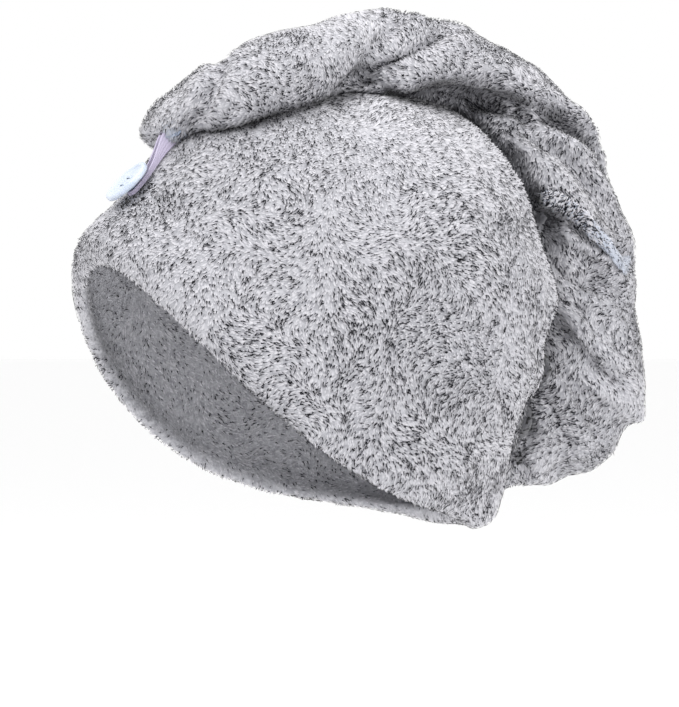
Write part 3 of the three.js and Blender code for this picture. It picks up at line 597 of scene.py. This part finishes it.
def makePile(name, cloth, ground, values, material):
    mesh = cloth.data
    mesh.calc_loop_triangles()
    corners = np.empty(len(mesh.loop_triangles) * 3, dtype=np.int64)
    mesh.loop_triangles.foreach_get("vertices", corners)
    corners = corners.reshape(-1, 3)
    points = coordinates(mesh)
    normals = coordinates(mesh, "normal")
    nap = napOf(points, normals, values)
    weight = weightOf(points, normals, ground, values)
    a, b, c = (points[corners[:, k]] for k in range(3))
    area = np.linalg.norm(np.cross(b - a, c - a), axis=1) * weight[corners].mean(axis=1)

    # Roots, by area and weight; where more are tried than kept, those nearest a parting stay
    count = values["count"]
    chance = np.random.default_rng(values["seed"])
    pick = chance.choice(len(corners), size=int(count * values["choose"]), p=area / area.sum())
    u, v = chance.random(len(pick)), chance.random(len(pick))
    flip = u + v > 1
    u[flip], v[flip] = 1 - u[flip], 1 - v[flip]
    shares = np.stack([1 - u - v, u, v], axis=1)[:, :, None]
    root = (points[corners[pick]] * shares).sum(axis=1)
    place, number, parting = bunchesOf(root, values["bunch"])
    kept = np.sort(np.argsort(parting)[:count]) if values["choose"] > 1 else np.arange(count)
    pick, shares, root, place, number = (rows[kept] for rows in (pick, shares, root, place, number))
    normal = unit((normals[corners[pick]] * shares).sum(axis=1))
    flow = unit((nap[corners[pick]] * shares).sum(axis=1))
    shade = (ground["shade"][corners[pick]] * shares[:, :, 0]).sum(axis=1)

    # Each lock leans with the nap, strays a little and gathers to its bunch's tip
    stray = chance.normal(size=(count, 3)) * values["stray"]
    stray -= normal * np.sum(stray * normal, axis=1, keepdims=True) * (1 - values["rear"])
    away = unit(normal * values["stand"] + flow + stray)
    reach = values["length"] * millimetre * chance.uniform(*pileValues["lengths"], count)[:, None]
    tip = root + away * reach
    offset = place - root
    offset -= normal * np.sum(offset * normal, axis=1, keepdims=True)
    middle = root + offset + unit(normal * values["stand"] + flow) * reach
    tip += (middle - tip) * values["gather"]
    along = unit(tip - root)
    side = unit(np.cross(along, normal + 0.01))
    up = np.cross(side, along)
    half = values["width"] * millimetre / 2 * chance.uniform(*pileValues["widths"], count)[:, None]
    foot = root + normal * values["lift"] * millimetre
    tip += normal * max(values["lift"], 0) * millimetre
    wide, flat = pileValues["footWidth"], values["flat"]
    ring = [foot + side * half * math.cos(turn) * wide + up * half * math.sin(turn) * flat for turn in tuftTurns]
    vertices = np.stack([*ring, tip], axis=1).reshape(-1, 3)

    made = []
    bunchTone = pileValues["bunchTone"]
    for index, part in enumerate(np.array_split(np.arange(count), values["pieces"])):
        start, stop = part[0], part[-1] + 1
        tone = bunchTone * number[start:stop] + (1 - bunchTone) * chance.random(stop - start)
        pile = tuftMesh(f"{name}{index + 1}", vertices[start * 4:stop * 4], {
            "tone": np.repeat(tone, 4),
            "rise": np.tile([0.0, 0.0, 0.0, 1.0], stop - start),
            "shade": np.repeat(shade[start:stop], 4),
        })
        made.append(meshObject(pile.name, pile, material))
        calmed = coordinates(pile, "normal") * (1 - values["calm"])
        calmed += np.repeat(normal[start:stop], 4, axis=0) * values["calm"]
        pile.normals_split_custom_set_from_vertices(unit(calmed))
    return made


everything = treeOf([hoodCloth.data, tailCloth.data])
trims = treeOf([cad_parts[node].data for node in ("button", "button_thread", "elastic_loop")])
tapeSolid = treeOf([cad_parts["seam_tape"].data])
hoodGround = groundOf(hoodCloth, groundValues)
tailGround = groundOf(tailCloth, groundValues, treeOf([hoodCloth.data]))
print("openness measured")

hoodPile = makePile("hoodPile", hoodCloth, hoodGround, {
    **lockValues, **hoodNap, "count": 74000, "pieces": 2, "seed": 11}, pileMaterial)
# Near the trims fewer flecks grow, so that the cloth in the button's shadow stays light: painted light
lightNearTrims = {"limit": 12, "reach": 9}
underTrims = smoothStep(distancesTo(coordinates(hoodCloth.data), trims, lightNearTrims["limit"]) / lightNearTrims["reach"])
hoodPile += makePile("hoodFlecks", hoodCloth, {**hoodGround, "room": hoodGround["room"] * underTrims}, {
    **fleckValues, **hoodNap, "count": 34000, "pieces": 1, "seed": 13}, fleckMaterial)
tailPile = makePile("tailPile", tailCloth, tailGround, {
    **lockValues, **tailNap, "count": 55000, "pieces": 2, "seed": 12}, pileMaterial)
tailPile += makePile("tailFlecks", tailCloth, tailGround, {
    **fleckValues, **tailNap, "length": 2.1, "count": 28000, "pieces": 1, "seed": 14}, fleckMaterial)
print("pile grown")


# Seam tape: a strip of the bluish plush laid along the seam, in the tail's valley

tapeValues = {
    "voxel": 0.6, "smoothing": 6, "ripple": 0.35, "rippleSize": 3.5,
    "rays": 5, "roomGain": 2.2, "nearRays": 14, "nearReach": 0.024, "rounds": 3,
    "shadeFrom": 0.05, "shadeOver": 0.5, "coverTo": 140, "coverOver": 30,
}
tapeNap = {
    "napFrom": (0.0, 0.05, 0.1), "inside": 1.0, "crown": 1, "patch": 0, "crease": 0,
    "bunch": 1.5, "pieces": 1,
}


def makeTape(values):
    thing = remeshed("tapeStrip", "seam_tape", values["voxel"], values["smoothing"], tapeGroundMaterial)
    points = coordinates(thing.data)
    normals = coordinates(thing.data, "normal")
    points += normals * (values["ripple"] * noiseAt(points, values["rippleSize"], 3) * millimetre)[:, None]
    thing.data.vertices.foreach_set("co", points.ravel())
    thing.data.update()
    return thing


tapeStrip = makeTape(tapeValues)
tapeMesh = tapeStrip.data
tapeAcross = treeOf([tapeMesh, tailCloth.data])
tapeGround = {
    "room": smoothStep(roomOf(tapeMesh, tapeAcross, tapeValues["rays"]) * tapeValues["roomGain"]),
    "shade": shadeOf(tapeMesh, tapeAcross, tapeValues),
}
# The strip's colours are darkened by this shade as well: painted shade
keepShade(tapeMesh, tapeGround["shade"])
tapePile = makePile("tapePile", tapeStrip, tapeGround, {
    **lockValues, **tapeNap, "length": 1.9, "width": 0.8, "stand": 0.6, "stray": 0.5, "lift": -0.3,
    "count": 6000, "seed": 21}, tapePileMaterial)
tapePile += makePile("tapeFlecks", tapeStrip, tapeGround, {
    **fleckValues, **tapeNap, "length": 1.7, "width": 0.42, "lift": 0.9,
    "count": 420, "seed": 22}, tapeFleckMaterial)
# Towards the hood the towel's own pile falls over the strip
coverShare = (tapeValues["coverTo"] - coordinates(tapeMesh)[:, 1] / millimetre) / tapeValues["coverOver"]
tapeCovered = {**tapeGround, "room": tapeGround["room"] * smoothStep(coverShare)}
tapePile += makePile("tapeCover", tapeStrip, tapeCovered, {
    **lockValues, **tapeNap, "bunch": 2.0, "length": 2.4, "stray": 0.5, "lift": 0.1,
    "count": 900, "seed": 24}, pileMaterial)
tapePile += makePile("tapeCoverFlecks", tapeStrip, tapeCovered, {
    **fleckValues, **tapeNap, "lift": 1.3, "count": 260, "seed": 25}, fleckMaterial)
print("tape laid")


# Trims are laid out in the button's own frame: x to the hood's left, y up the hood
# and z out from the cloth, in millimetres

buttonValues = {
    "diameter": 23, "thickness": 3.2, "height": 5, "rim": 1.9, "dish": 1.1,
    "holeDiameter": 1.5, "holePitch": 4.4, "sides": 64, "tilt": -5,
    "colour": "#cad2df", "shadow": "#b9c4d5",
}


def buttonMatrixOf(node):
    points = coordinates(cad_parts[node].data)
    middle = points.mean(axis=0)
    out = np.linalg.svd(points - middle, full_matrices=False)[2][2]
    out = out if out[2] > 0 else -out
    left = np.array([1.0, 0.0, 0.0])
    up = np.cross(out, left)
    origin = np.zeros(3)
    for axis in (left, up):
        places = points @ axis
        origin += axis * (places.min() + places.max()) / 2
    origin += out * ((points @ out).min() - buttonValues["height"] * millimetre)
    columns = [axis * millimetre for axis in (left, up, out)] + [origin]
    return Matrix([[*(float(column[row]) for column in columns)] for row in range(3)] + [[0, 0, 0, 1]])


buttonMatrix = buttonMatrixOf("button")
# The elastic pulls the disc a little aslant
discMatrix = buttonMatrix @ Matrix.Rotation(math.radians(buttonValues["tilt"]), 4, "Y")


def rounded(line, times):
    for _ in range(times):
        cut = [line[0]]
        for a, b in zip(line, line[1:]):
            cut += [[0.75 * p + 0.25 * q for p, q in zip(a, b)], [0.25 * p + 0.75 * q for p, q in zip(a, b)]]
        line = cut + [line[-1]]
    return line


def finishedMesh(name, form, material, matrix=None):
    bmesh.ops.recalc_face_normals(form, faces=form.faces)
    if matrix is not None:
        bmesh.ops.transform(form, matrix=matrix, verts=form.verts)
    mesh = bpy.data.meshes.new(name)
    form.to_mesh(mesh)
    form.free()
    return meshObject(name, mesh, material)


# In the order of the corners, so that every run gives the same mesh
def loopEdges(verts):
    inside = set(verts)
    return list(dict.fromkeys(
        edge for vert in verts for edge in vert.link_edges if edge.other_vert(vert) in inside))


def extrudedRing(form, ring):
    made = set(bmesh.ops.extrude_edge_only(form, edges=loopEdges(ring))["geom"])
    return [next(edge.other_vert(vert) for edge in vert.link_edges if edge.other_vert(vert) in made) for vert in ring]


def makeButton(values, material):
    form = bmesh.new()
    radius = values["diameter"] / 2
    back = values["height"]
    face = back + values["thickness"]
    dish = face - values["dish"]
    flat = radius * 0.42
    profile = rounded([
        [flat, dish], [radius - 1.9 * values["rim"], dish + 0.05], [radius - 1.35 * values["rim"], dish + 0.25],
        [radius - values["rim"], face - 0.05], [radius - 0.35 * values["rim"], face], [radius, face - 0.7],
        [radius, back + 0.9], [radius - 0.9, back], [radius * 0.7, back], [flat, back],
    ], 2)
    verts = [form.verts.new((r, 0, z)) for r, z in profile]
    edges = [form.edges.new(pair) for pair in zip(verts, verts[1:])]
    bmesh.ops.spin(
        form, geom=verts + edges, cent=(0, 0, 0), axis=(0, 0, 1), angle=2 * math.pi,
        steps=values["sides"], use_merge=True)
    rims = {dish: [], back: []}
    for edge in form.edges:
        if edge.is_boundary:
            rims[dish if edge.verts[0].co.z > (dish + back) / 2 else back].append(edge)
    hole = values["holeDiameter"] / 2
    at = values["holePitch"] / 2
    for x, y in ((-at, -at), (at, -at), (-at, at), (at, at)):
        below = None
        for height, size in (
            (dish, hole + 0.15), (dish - 0.1, hole + 0.04), (dish - 0.3, hole),
            (back + 0.3, hole), (back, hole + 0.2),
        ):
            place = Matrix.Translation((x, y, height))
            ring = bmesh.ops.create_circle(form, radius=size, segments=20, matrix=place)["verts"]
            ringEdges = loopEdges(ring)
            if height in rims:
                rims[height] += ringEdges
            if below is not None:
                bmesh.ops.bridge_loops(form, edges=below + ringEdges)
            below = ringEdges
    for edges in rims.values():
        bmesh.ops.triangle_fill(form, use_beauty=True, edges=edges)
    return finishedMesh("buttonDisc", form, material, discMatrix)


# Cords from lines of points, as round closed tubes
def makeCords(name, lines, thickness, material, matrix=None):
    data = bpy.data.curves.new(name, "CURVE")
    data.dimensions = "3D"
    data.bevel_depth = thickness / 2
    data.bevel_resolution = 2
    data.use_fill_caps = True
    for line in lines:
        spline = data.splines.new("POLY")
        spline.points.add(len(line) - 1)
        spline.points.foreach_set("co", np.hstack([np.array(line, float), np.ones((len(line), 1))]).ravel())
    curve = bpy.data.objects.new(name, data)
    scene.collection.objects.link(curve)
    mesh = bpy.data.meshes.new_from_object(curve.evaluated_get(bpy.context.evaluated_depsgraph_get()))
    bpy.data.objects.remove(curve)
    form = bmesh.new()
    form.from_mesh(mesh)
    bmesh.ops.remove_doubles(form, verts=form.verts, dist=thickness * 1e-3)
    return finishedMesh(name, form, material, matrix)


threadValues = {
    "strand": 0.34, "strands": 4, "shank": 2.9, "knot": 6.4, "insideHood": -2.9,
    "stitchSteps": 14, "ties": 12, "coils": 15, "coilSteps": 240, "knotCoils": 5, "knotSteps": 120,
    "colour": "#d5dde9", "shadow": "#b3bfd0",
}


def threadLines(values, button):
    at = button["holePitch"] / 2
    dish = button["height"] + button["thickness"] - button["dish"]
    top = dish + 0.55
    lines = []
    for y in (-at, at):
        for strand in range(values["strands"]):
            shift = (strand - (values["strands"] - 1) / 2) * values["strand"] * 0.95
            line = []
            for step in range(values["stitchSteps"] + 1):
                t = step / values["stitchSteps"]
                swing = -math.cos(math.pi * t)
                lift = math.sin(math.pi * t) ** 0.35
                rise = (top - button["height"]) * min(1, lift * 1.02)
                line.append((swing * (at + 0.35 + 0.1 * math.sin(strand)), y + shift * (0.8 + 0.2 * lift),
                             button["height"] - 0.1 + rise - 0.1 * (strand % 2)))
            lines.append(line)
    for index in range(values["ties"]):
        turn = index * math.pi / (values["ties"] / 2)
        reach = values["knot"] / 2 * (0.8 + 0.2 * (index % 2))
        lines.append([
            (reach * math.cos(turn), reach * math.sin(turn), button["height"] - 0.25),
            (0.6 * reach * math.cos(turn + 0.3), 0.6 * reach * math.sin(turn + 0.3), button["height"] - 0.35),
            (0.3 * reach * math.cos(turn + 0.7), 0.3 * reach * math.sin(turn + 0.7), button["height"] - 0.8),
        ])
    coil = []
    shankRadius = values["shank"] / 2 - values["strand"] / 2
    for step in range(values["coilSteps"] + 1):
        t = step / values["coilSteps"]
        turn = 2 * math.pi * values["coils"] * t
        coil.append((shankRadius * math.cos(turn), shankRadius * math.sin(turn),
                     values["insideHood"] + (button["height"] - 0.6 - values["insideHood"]) * t))
    lines.append(coil)
    knot = []
    for step in range(values["knotSteps"] + 1):
        t = step / values["knotSteps"]
        turn = 2 * math.pi * values["knotCoils"] * t
        reach = 0.3 + (values["knot"] / 2 - 0.5) * t
        knot.append((reach * math.cos(turn), reach * math.sin(turn),
                     values["insideHood"] - 0.1 + 0.12 * math.sin(7 * turn)))
    lines.append(knot)
    return lines


# Woven elastic, on edge: a row of covered rubber cores along it, crossed by fine yarn
elasticValues = {
    "length": 30, "spread": 3.6, "side": 3.5, "radius": 2.8, "thickness": 1.2,
    "cores": 5, "groove": 0.32, "together": 1.5, "widen": 0.6,
    "solidSteps": (5, 10), "steps": (40, 30), "evening": 12,
    "colour": "#cdc5da", "shadow": "#a79fba", "pick": 0.55,
}


def elasticPath(values, legSteps, arcSteps, apart):
    def leg(side, share):
        return (side * values["radius"] * (1 - share) + (values["side"] + side * apart / 2) * share,
                values["length"] * share)
    path = [leg(1, i / legSteps) for i in range(legSteps, 0, -1)]
    turns = [-math.pi * i / arcSteps for i in range(arcSteps + 1)]
    path += [(values["radius"] * math.cos(turn), values["radius"] * math.sin(turn)) for turn in turns]
    return np.array(path + [leg(-1, i / legSteps) for i in range(1, legSteps + 1)])


def alongOf(path):
    steps = np.linalg.norm(np.diff(path, axis=0), axis=1)
    return np.concatenate([[0], np.cumsum(steps)])


def makeElastic(values, material):
    coarse = elasticPath(values, *values["solidSteps"], values["spread"])
    inward = buttonMatrix.inverted()
    own = np.array([(inward @ vertex.co)[:] for vertex in weldedCopy("elastic_loop").vertices])
    station = np.argmin(np.linalg.norm(own[:, None, :2] - coarse[None], axis=2), axis=1)
    low = np.array([own[station == i, 2].min() for i in range(len(coarse))])
    high = np.array([own[station == i, 2].max() for i in range(len(coarse))])
    fine = elasticPath(values, *values["steps"], values["together"])
    along = alongOf(fine)
    share = along / along[-1]
    coarseShare = alongOf(coarse) / alongOf(coarse)[-1]
    low, high = np.interp(share, coarseShare, low), np.interp(share, coarseShare, high)
    for _ in range(values["evening"]):
        low[1:-1] = (low[:-2] + 2 * low[1:-1] + low[2:]) / 4
        high[1:-1] = (high[:-2] + 2 * high[1:-1] + high[2:]) / 4
    run = unit(np.gradient(fine, axis=0))
    steps = 4 * values["cores"]
    outline = []
    for side in (1, -1):
        for step in range(steps + 1):
            u = side * (1 - 2 * step / steps)
            ridge = abs(math.sin(math.pi * values["cores"] * (u + 1) / 2))
            edge = math.sqrt(max(0, 1 - abs(u) ** 14))
            outline.append((side * (1 - values["groove"] + values["groove"] * ridge) * (0.45 + 0.55 * edge), u))
    form = bmesh.new()
    lengthways = form.verts.layers.float.new("along")
    crossways = form.verts.layers.float.new("across")
    ring = list(bmesh.ops.create_circle(form, cap_ends=True, radius=1, segments=len(outline))["verts"])
    for i in range(len(fine)):
        if i > 0:
            ring = extrudedRing(form, ring)
        middle, half = (low[i] + high[i]) / 2, (high[i] - low[i]) / 2
        half *= 1 + values["widen"] * max(0, fine[i, 1]) / values["length"]
        for vert, (across, up) in zip(ring, outline):
            shift = across * values["thickness"] / 2
            vert.co = (fine[i, 0] - run[i, 1] * shift, fine[i, 1] + run[i, 0] * shift, middle + up * half)
            vert[lengthways] = along[i]
            vert[crossways] = (up + 1) / 2
    bmesh.ops.edgeloop_fill(form, edges=loopEdges(ring))
    return finishedMesh("elasticBand", form, material, buttonMatrix)


# Thick satin stitches that hold the elastic's ends in the tail's tip
tackValues = {
    "at": (4.8, -61.4, -9.8), "wide": 8, "tall": 5.5, "rows": 12, "strand": 0.5, "lift": 0.8,
    "colour": "#a9b3c6", "shadow": "#6f7a8f", "fluff": 2.2,
}


def tackLines(values):
    cloth = treeOf([tailCloth.data])
    left = np.array(buttonMatrix.col[0][:3]) / millimetre
    up = np.array(buttonMatrix.col[1][:3]) / millimetre
    chance = np.random.default_rng(31)
    line = []
    for row in range(values["rows"]):
        for step in range(7):
            t = step / 6
            side = (t - 0.5) * (1 if row % 2 else -1) * values["wide"]
            rise = (row + t) / values["rows"] * values["tall"] - values["tall"] / 2 + chance.normal() * 0.06
            spot = (np.array(values["at"]) + left * side + up * rise) * millimetre
            found, out, _, _ = cloth.find_nearest(spot.tolist())
            lift = values["lift"] * math.sin(math.pi * min(max(t, 0.12), 0.88)) ** 0.6
            line.append(tuple(found + out * lift * millimetre))
    return [line]


def makeYarnMaterial(name, colour, shadow, size, settings):
    material, tree, shader = newMaterial(name, settings)
    where = addNode(tree, "ShaderNodeTexCoord").outputs["Object"]
    speck = addNode(tree, "ShaderNodeTexNoise", {"Scale": 1 / (size * millimetre), "Detail": 3}, {"Vector": where})
    ramp = addRamp(tree, speck.outputs["Fac"], [(0.3, shadow), (0.6, colour)])
    tree.links.new(ramp, shader.inputs["Base Color"])
    addBump(tree, shader, 0.4, size * millimetre / 3, speck.outputs["Fac"])
    return material


# Picks of fine yarn cross the cores, half a step apart from one core to the next
def makeElasticMaterial(values):
    material, tree, shader = newMaterial("elasticWebbing", {
        "Roughness": 0.7, "Specular IOR Level": 0.3, "Sheen Weight": 0.25, "Sheen Roughness": 0.4})
    core = addNode(tree, "ShaderNodeMath", {"operation": "MULTIPLY"}, {0: factOf(tree, "across")})
    core.inputs[1].default_value = values["cores"]
    whole = addNode(tree, "ShaderNodeMath", {"operation": "FLOOR"}, {0: core.outputs[0]})
    turn = addNode(tree, "ShaderNodeMath", {"operation": "MULTIPLY"}, {0: factOf(tree, "along")})
    turn.inputs[1].default_value = 2 * math.pi / values["pick"]
    shifted = addNode(tree, "ShaderNodeMath", {"operation": "MULTIPLY_ADD"}, {
        0: whole.outputs[0], 2: turn.outputs[0]})
    shifted.inputs[1].default_value = math.pi
    wave = addNode(tree, "ShaderNodeMath", {"operation": "SINE"}, {0: shifted.outputs[0]})
    height = addNode(tree, "ShaderNodeMapRange", {"From Min": -1, "From Max": 1}, {"Value": wave.outputs[0]})
    ramp = addRamp(tree, height.outputs[0], [
        (0.0, values["shadow"]), (0.45, values["colour"]), (1.0, values["colour"])])
    tree.links.new(ramp, shader.inputs["Base Color"])
    addBump(tree, shader, 0.6, 0.0002, height.outputs[0])
    return material


# Moulded polyester resin, slightly milky
buttonMaterial = makeYarnMaterial("buttonResin", buttonValues["colour"], buttonValues["shadow"], 9, {
    "Roughness": 0.32, "IOR": 1.5, "Subsurface Weight": 0.2, "Subsurface Radius": (0.002, 0.002, 0.0025),
    "Subsurface Scale": 1, "Coat Weight": 0.15, "Coat Roughness": 0.25})
# Spun polyester sewing thread
threadMaterial = makeYarnMaterial("sewingThread", threadValues["colour"], threadValues["shadow"], 0.35, {
    "Roughness": 0.7, "Specular IOR Level": 0.3, "Sheen Weight": 0.3, "Sheen Roughness": 0.4})
tackMaterial = makeYarnMaterial("tackThread", tackValues["colour"], tackValues["shadow"], 0.5, {
    "Roughness": 0.75, "Specular IOR Level": 0.2, "Sheen Weight": 0.3, "Sheen Roughness": 0.4})
elasticMaterial = makeElasticMaterial(elasticValues)

buttonDisc = makeButton(buttonValues, buttonMaterial)
buttonStitches = makeCords(
    "buttonStitches", threadLines(threadValues, buttonValues), threadValues["strand"], threadMaterial, discMatrix)
elasticBand = makeElastic(elasticValues, elasticMaterial)
elasticTack = makeCords("elasticTack", tackLines(tackValues), tackValues["strand"] * millimetre, tackMaterial)
tackNear = np.linalg.norm(coordinates(tailCloth.data) / millimetre - np.array(tackValues["at"]) - [1, 0, 1.5], axis=1)
tackGround = {"room": np.exp(-(tackNear / tackValues["fluff"]) ** 2), "shade": tailGround["shade"]}
tackFluff = makePile("tackFluff", tailCloth, tackGround, {
    **lockValues, **tapeNap, "length": 2.4, "width": 0.5, "stand": 0.7, "stray": 0.7,
    "count": 170, "seed": 23}, tapePileMaterial)
print("trims made")

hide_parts("hood")
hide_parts("tail")
for piece in [hoodCloth, *hoodPile]:
    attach(piece, "root")
for piece in [tailCloth, *tailPile]:
    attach(piece, "root")
for piece, node, slot in (
    (tapeStrip, "seam_tape", "tape"), (buttonDisc, "button", "button_plastic"),
    (buttonStitches, "button_thread", "thread"), (elasticBand, "elastic_loop", "elastic"),
):
    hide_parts(node)
    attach(piece, "root")
for piece in tapePile:
    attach(piece, "root")
for piece in [elasticTack, *tackFluff]:
    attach(piece, "root")


# Studio

studioValues = {
    "floorDrop": 0.42, "floorRadius": 30, "floorSides": 64,
    "floor": "#fcfcfc", "air": "#ffffff", "airStrength": 1.0,
}


def makeStudio(values):
    mesh = bpy.data.meshes.new("floor")
    form = bmesh.new()
    bmesh.ops.create_circle(form, cap_ends=True, radius=values["floorRadius"], segments=values["floorSides"])
    bmesh.ops.translate(form, verts=form.verts, vec=(0, 0, -values["floorDrop"]))
    form.to_mesh(mesh)
    form.free()
    material, _, _ = newMaterial("studioFloor", {"Base Color": linearColour(values["floor"]), "Roughness": 0.9})
    floor = meshObject("floor", mesh, material, smooth=False)
    world = bpy.data.worlds.new("studioAir")
    world.use_nodes = True
    back = world.node_tree.nodes["Background"]
    back.inputs["Color"].default_value = linearColour(values["air"])
    back.inputs["Strength"].default_value = values["airStrength"]
    scene.world = world


lampAim = (0, 0.04, -0.08)
lampValues = [
    {"name": "keyLamp", "place": (0.9, -1.3, 1.5), "size": 1.0, "power": 18.5},
    {"name": "topLamp", "place": (0.1, 0.2, 1.7), "size": 1.2, "power": 14},
    {"name": "fillLamp", "place": (2.0, 1.0, 0.3), "size": 1.6, "power": 13},
]


def makeLamps(rows):
    for row in rows:
        data = bpy.data.lights.new(row["name"], "AREA")
        data.shape = "DISK"
        data.size = row["size"]
        data.energy = row["power"]
        lamp = bpy.data.objects.new(row["name"], data)
        scene.collection.objects.link(lamp)
        lamp.location = row["place"]
        lamp.rotation_euler = (lamp.location - Vector(lampAim)).to_track_quat("Z", "Y").to_euler()


makeStudio(studioValues)
makeLamps(lampValues)
scene.view_settings.view_transform = "Standard"
print("studio lit")
